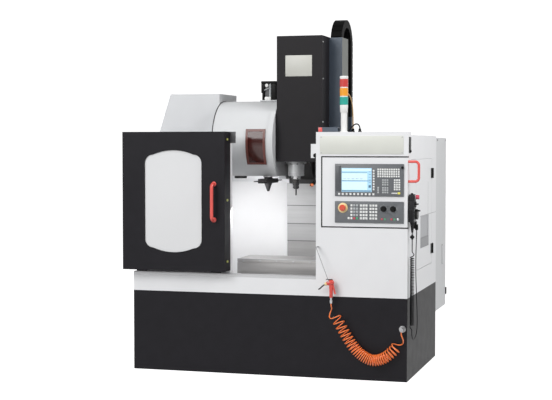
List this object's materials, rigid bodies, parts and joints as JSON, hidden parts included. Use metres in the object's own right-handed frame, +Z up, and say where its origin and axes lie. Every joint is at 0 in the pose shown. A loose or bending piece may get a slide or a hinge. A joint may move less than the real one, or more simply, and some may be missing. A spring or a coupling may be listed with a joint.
{
  "type": "vertical machining centre",
  "caption": "Enclosed vertical milling machine: sliding front door, T-slot table, black spindle head, arm tool changer, control tower with hinged panel, pendant and rear electrical cabinet.",
  "frame": {"origin": "centre of the base's bottom face, on the floor", "axes": "+X to the operator's right, +Y to the back, +Z up"},
  "size_m": [1.863, 1.6035, 2.222],
  "materials": {
    "black_paint": "satin",
    "white_paint": "satin",
    "grey_paint": "satin",
    "slate_paint": "satin",
    "casting": "machined",
    "steel": "ground",
    "aluminium": "satin",
    "black_plastic": "matte",
    "red_plastic": "gloss",
    "yellow_rubber": "matte",
    "orange_hose": "gloss",
    "clear_pane": "clear",
    "brown_pane": "tinted",
    "lamp_plastic": "gloss",
    "screen_unit": "matte"
  },
  "bodies": {
    "frame": {"base_plinth": "black_paint", "bed_casting": "casting", "column_casting": "casting", "linear_rails": "steel", "front_apron": "white_paint", "door_rail": "aluminium", "left_panel": "white_paint", "rear_wall": "white_paint", "right_side_panel": "white_paint", "inner_splash": "white_paint", "control_tower": "white_paint", "signal_tower": "lamp_plastic", "cable_ducts": "slate_paint", "electrical_cabinet": "white_paint", "magazine_housing": "white_paint", "magazine_cover": "white_paint", "magazine_window": "brown_pane", "change_unit": "casting", "air_service_unit": "black_plastic", "door_guide": "grey_paint", "side_hinges": "black_plastic", "pendant_body": "black_plastic", "cord_fittings": "steel", "gun_body": "red_plastic", "air_hose": "orange_hose", "pendant_cord": "black_plastic"},
    "door": {"door_panel": "black_paint", "door_window": "clear_pane", "door_handle": "red_plastic", "door_buffers": "yellow_rubber"},
    "saddle": {"saddle": "casting"},
    "table": {"table": "casting"},
    "head": {"head_casting": "casting", "head_cover": "black_paint", "chain_duct": "slate_paint", "z_cover_top": "steel", "spindle_cartridge": "steel", "coolant_nozzle": "black_plastic"},
    "spindle": {"spindle_shaft": "steel", "tool_holder": "steel"},
    "chain": {"energy_chain": "black_plastic"},
    "cover_upper": {"z_cover_upper": "steel"},
    "cover_lower": {"z_cover_lower": "steel"},
    "magazine": {"magazine_disc": "steel"},
    "pot": {"tool_pot": "black_plastic"},
    "quill": {"arm_quill": "steel"},
    "change_arm": {"tool_arm": "steel"},
    "panel": {"operator_panel": "white_paint", "control_unit": "screen_unit", "panel_handle": "red_plastic"},
    "estop": {"estop_button": "red_plastic"},
    "feed": {"feed_knob": "black_plastic"},
    "speed": {"speed_knob": "black_plastic"},
    "access_door": {"side_door": "white_paint", "side_window": "clear_pane"},
    "cabinet_door": {"cabinet_door": "white_paint"},
    "stop_button": {"pendant_stop": "red_plastic"},
    "handwheel": {"pendant_dial": "black_plastic"},
    "selector": {"pendant_selector": "black_plastic"},
    "trigger": {"gun_trigger": "black_plastic"}
  },
  "joints": [
    {"name": "door_slide", "type": "slide", "parent": "frame", "child": "door", "axis": [1, 0, 0], "range_m": [0, 0.55]},
    {"name": "saddle_slide", "type": "slide", "parent": "frame", "child": "saddle", "axis": [0, 1, 0], "range_m": [-0.11, 0.11]},
    {"name": "table_slide", "type": "slide", "parent": "saddle", "child": "table", "axis": [1, 0, 0], "range_m": [-0.21, 0.21]},
    {"name": "head_slide", "type": "slide", "parent": "frame", "child": "head", "axis": [0, 0, 1], "range_m": [-0.37, 0]},
    {"name": "spindle_spin", "type": "hinge", "parent": "head", "child": "spindle", "pos_m": [0.085, -0.14, 1.25], "axis": [0, 0, 1], "continuous": true},
    {"name": "chain_slide", "type": "slide", "parent": "frame", "child": "chain", "axis": [0, 0, 1], "range_m": [-0.185, 0]},
    {"name": "cover_upper_slide", "type": "slide", "parent": "frame", "child": "cover_upper", "axis": [0, 0, 1], "range_m": [-0.2467, 0]},
    {"name": "cover_lower_slide", "type": "slide", "parent": "frame", "child": "cover_lower", "axis": [0, 0, 1], "range_m": [-0.1234, 0]},
    {"name": "magazine_turn", "type": "hinge", "parent": "frame", "child": "magazine", "pos_m": [-0.4, -0.045, 1.435], "axis": [1, 0, 0], "continuous": true},
    {"name": "pot_tilt", "type": "hinge", "parent": "frame", "child": "pot", "pos_m": [-0.285, -0.14, 1.295], "axis": [0, -1, 0], "range_deg": [0, 90]},
    {"name": "arm_plunge", "type": "slide", "parent": "frame", "child": "quill", "axis": [0, 0, 1], "range_m": [-0.09, 0]},
    {"name": "arm_turn", "type": "hinge", "parent": "quill", "child": "change_arm", "pos_m": [-0.1, -0.14, 1.28], "axis": [0, 0, 1], "range_deg": [0, 90]},
    {"name": "panel_hinge", "type": "hinge", "parent": "frame", "child": "panel", "pos_m": [0.361, -0.507, 1.1325], "axis": [0, 0, -1], "range_deg": [0, 75]},
    {"name": "estop_push", "type": "slide", "parent": "panel", "child": "estop", "axis": [0, 1, 0], "range_m": [0, 0.0045], "stiffness_N_per_m": 2000},
    {"name": "feed_turn", "type": "hinge", "parent": "panel", "child": "feed", "pos_m": [0.731, -0.525, 1.034], "axis": [0, -1, 0], "range_deg": [-135, 135]},
    {"name": "speed_turn", "type": "hinge", "parent": "panel", "child": "speed", "pos_m": [0.789, -0.525, 1.034], "axis": [0, -1, 0], "range_deg": [-135, 135]},
    {"name": "side_door_hinge", "type": "hinge", "parent": "frame", "child": "access_door", "pos_m": [0.8815, 0.345, 0.985], "axis": [0, 0, 1], "range_deg": [0, 100]},
    {"name": "cabinet_door_hinge", "type": "hinge", "parent": "frame", "child": "cabinet_door", "pos_m": [0.262, 0.94, 0.882], "axis": [0, 0, 1], "range_deg": [0, 110]},
    {"name": "pendant_stop_push", "type": "slide", "parent": "frame", "child": "stop_button", "axis": [-1, 0, 0], "range_m": [0, 0.004], "stiffness_N_per_m": 1500},
    {"name": "handwheel_turn", "type": "hinge", "parent": "frame", "child": "handwheel", "pos_m": [0.92, -0.477, 1.003], "axis": [1, 0, 0], "continuous": true},
    {"name": "selector_turn", "type": "hinge", "parent": "frame", "child": "selector", "pos_m": [0.92, -0.477, 1.063], "axis": [1, 0, 0], "range_deg": [-60, 60]},
    {"name": "trigger_pull", "type": "hinge", "parent": "frame", "child": "trigger", "pos_m": [0.43, -0.558, 0.578], "axis": [0, 1, 0], "range_deg": [0, 15], "stiffness_Nm_per_rad": 0.8}
  ],
  "couplings": [
    {"joint": "chain_slide", "follows": "head_slide", "ratio": 0.5},
    {"joint": "cover_upper_slide", "follows": "head_slide", "ratio": 0.6666},
    {"joint": "cover_lower_slide", "follows": "head_slide", "ratio": 0.3333}
  ]
}
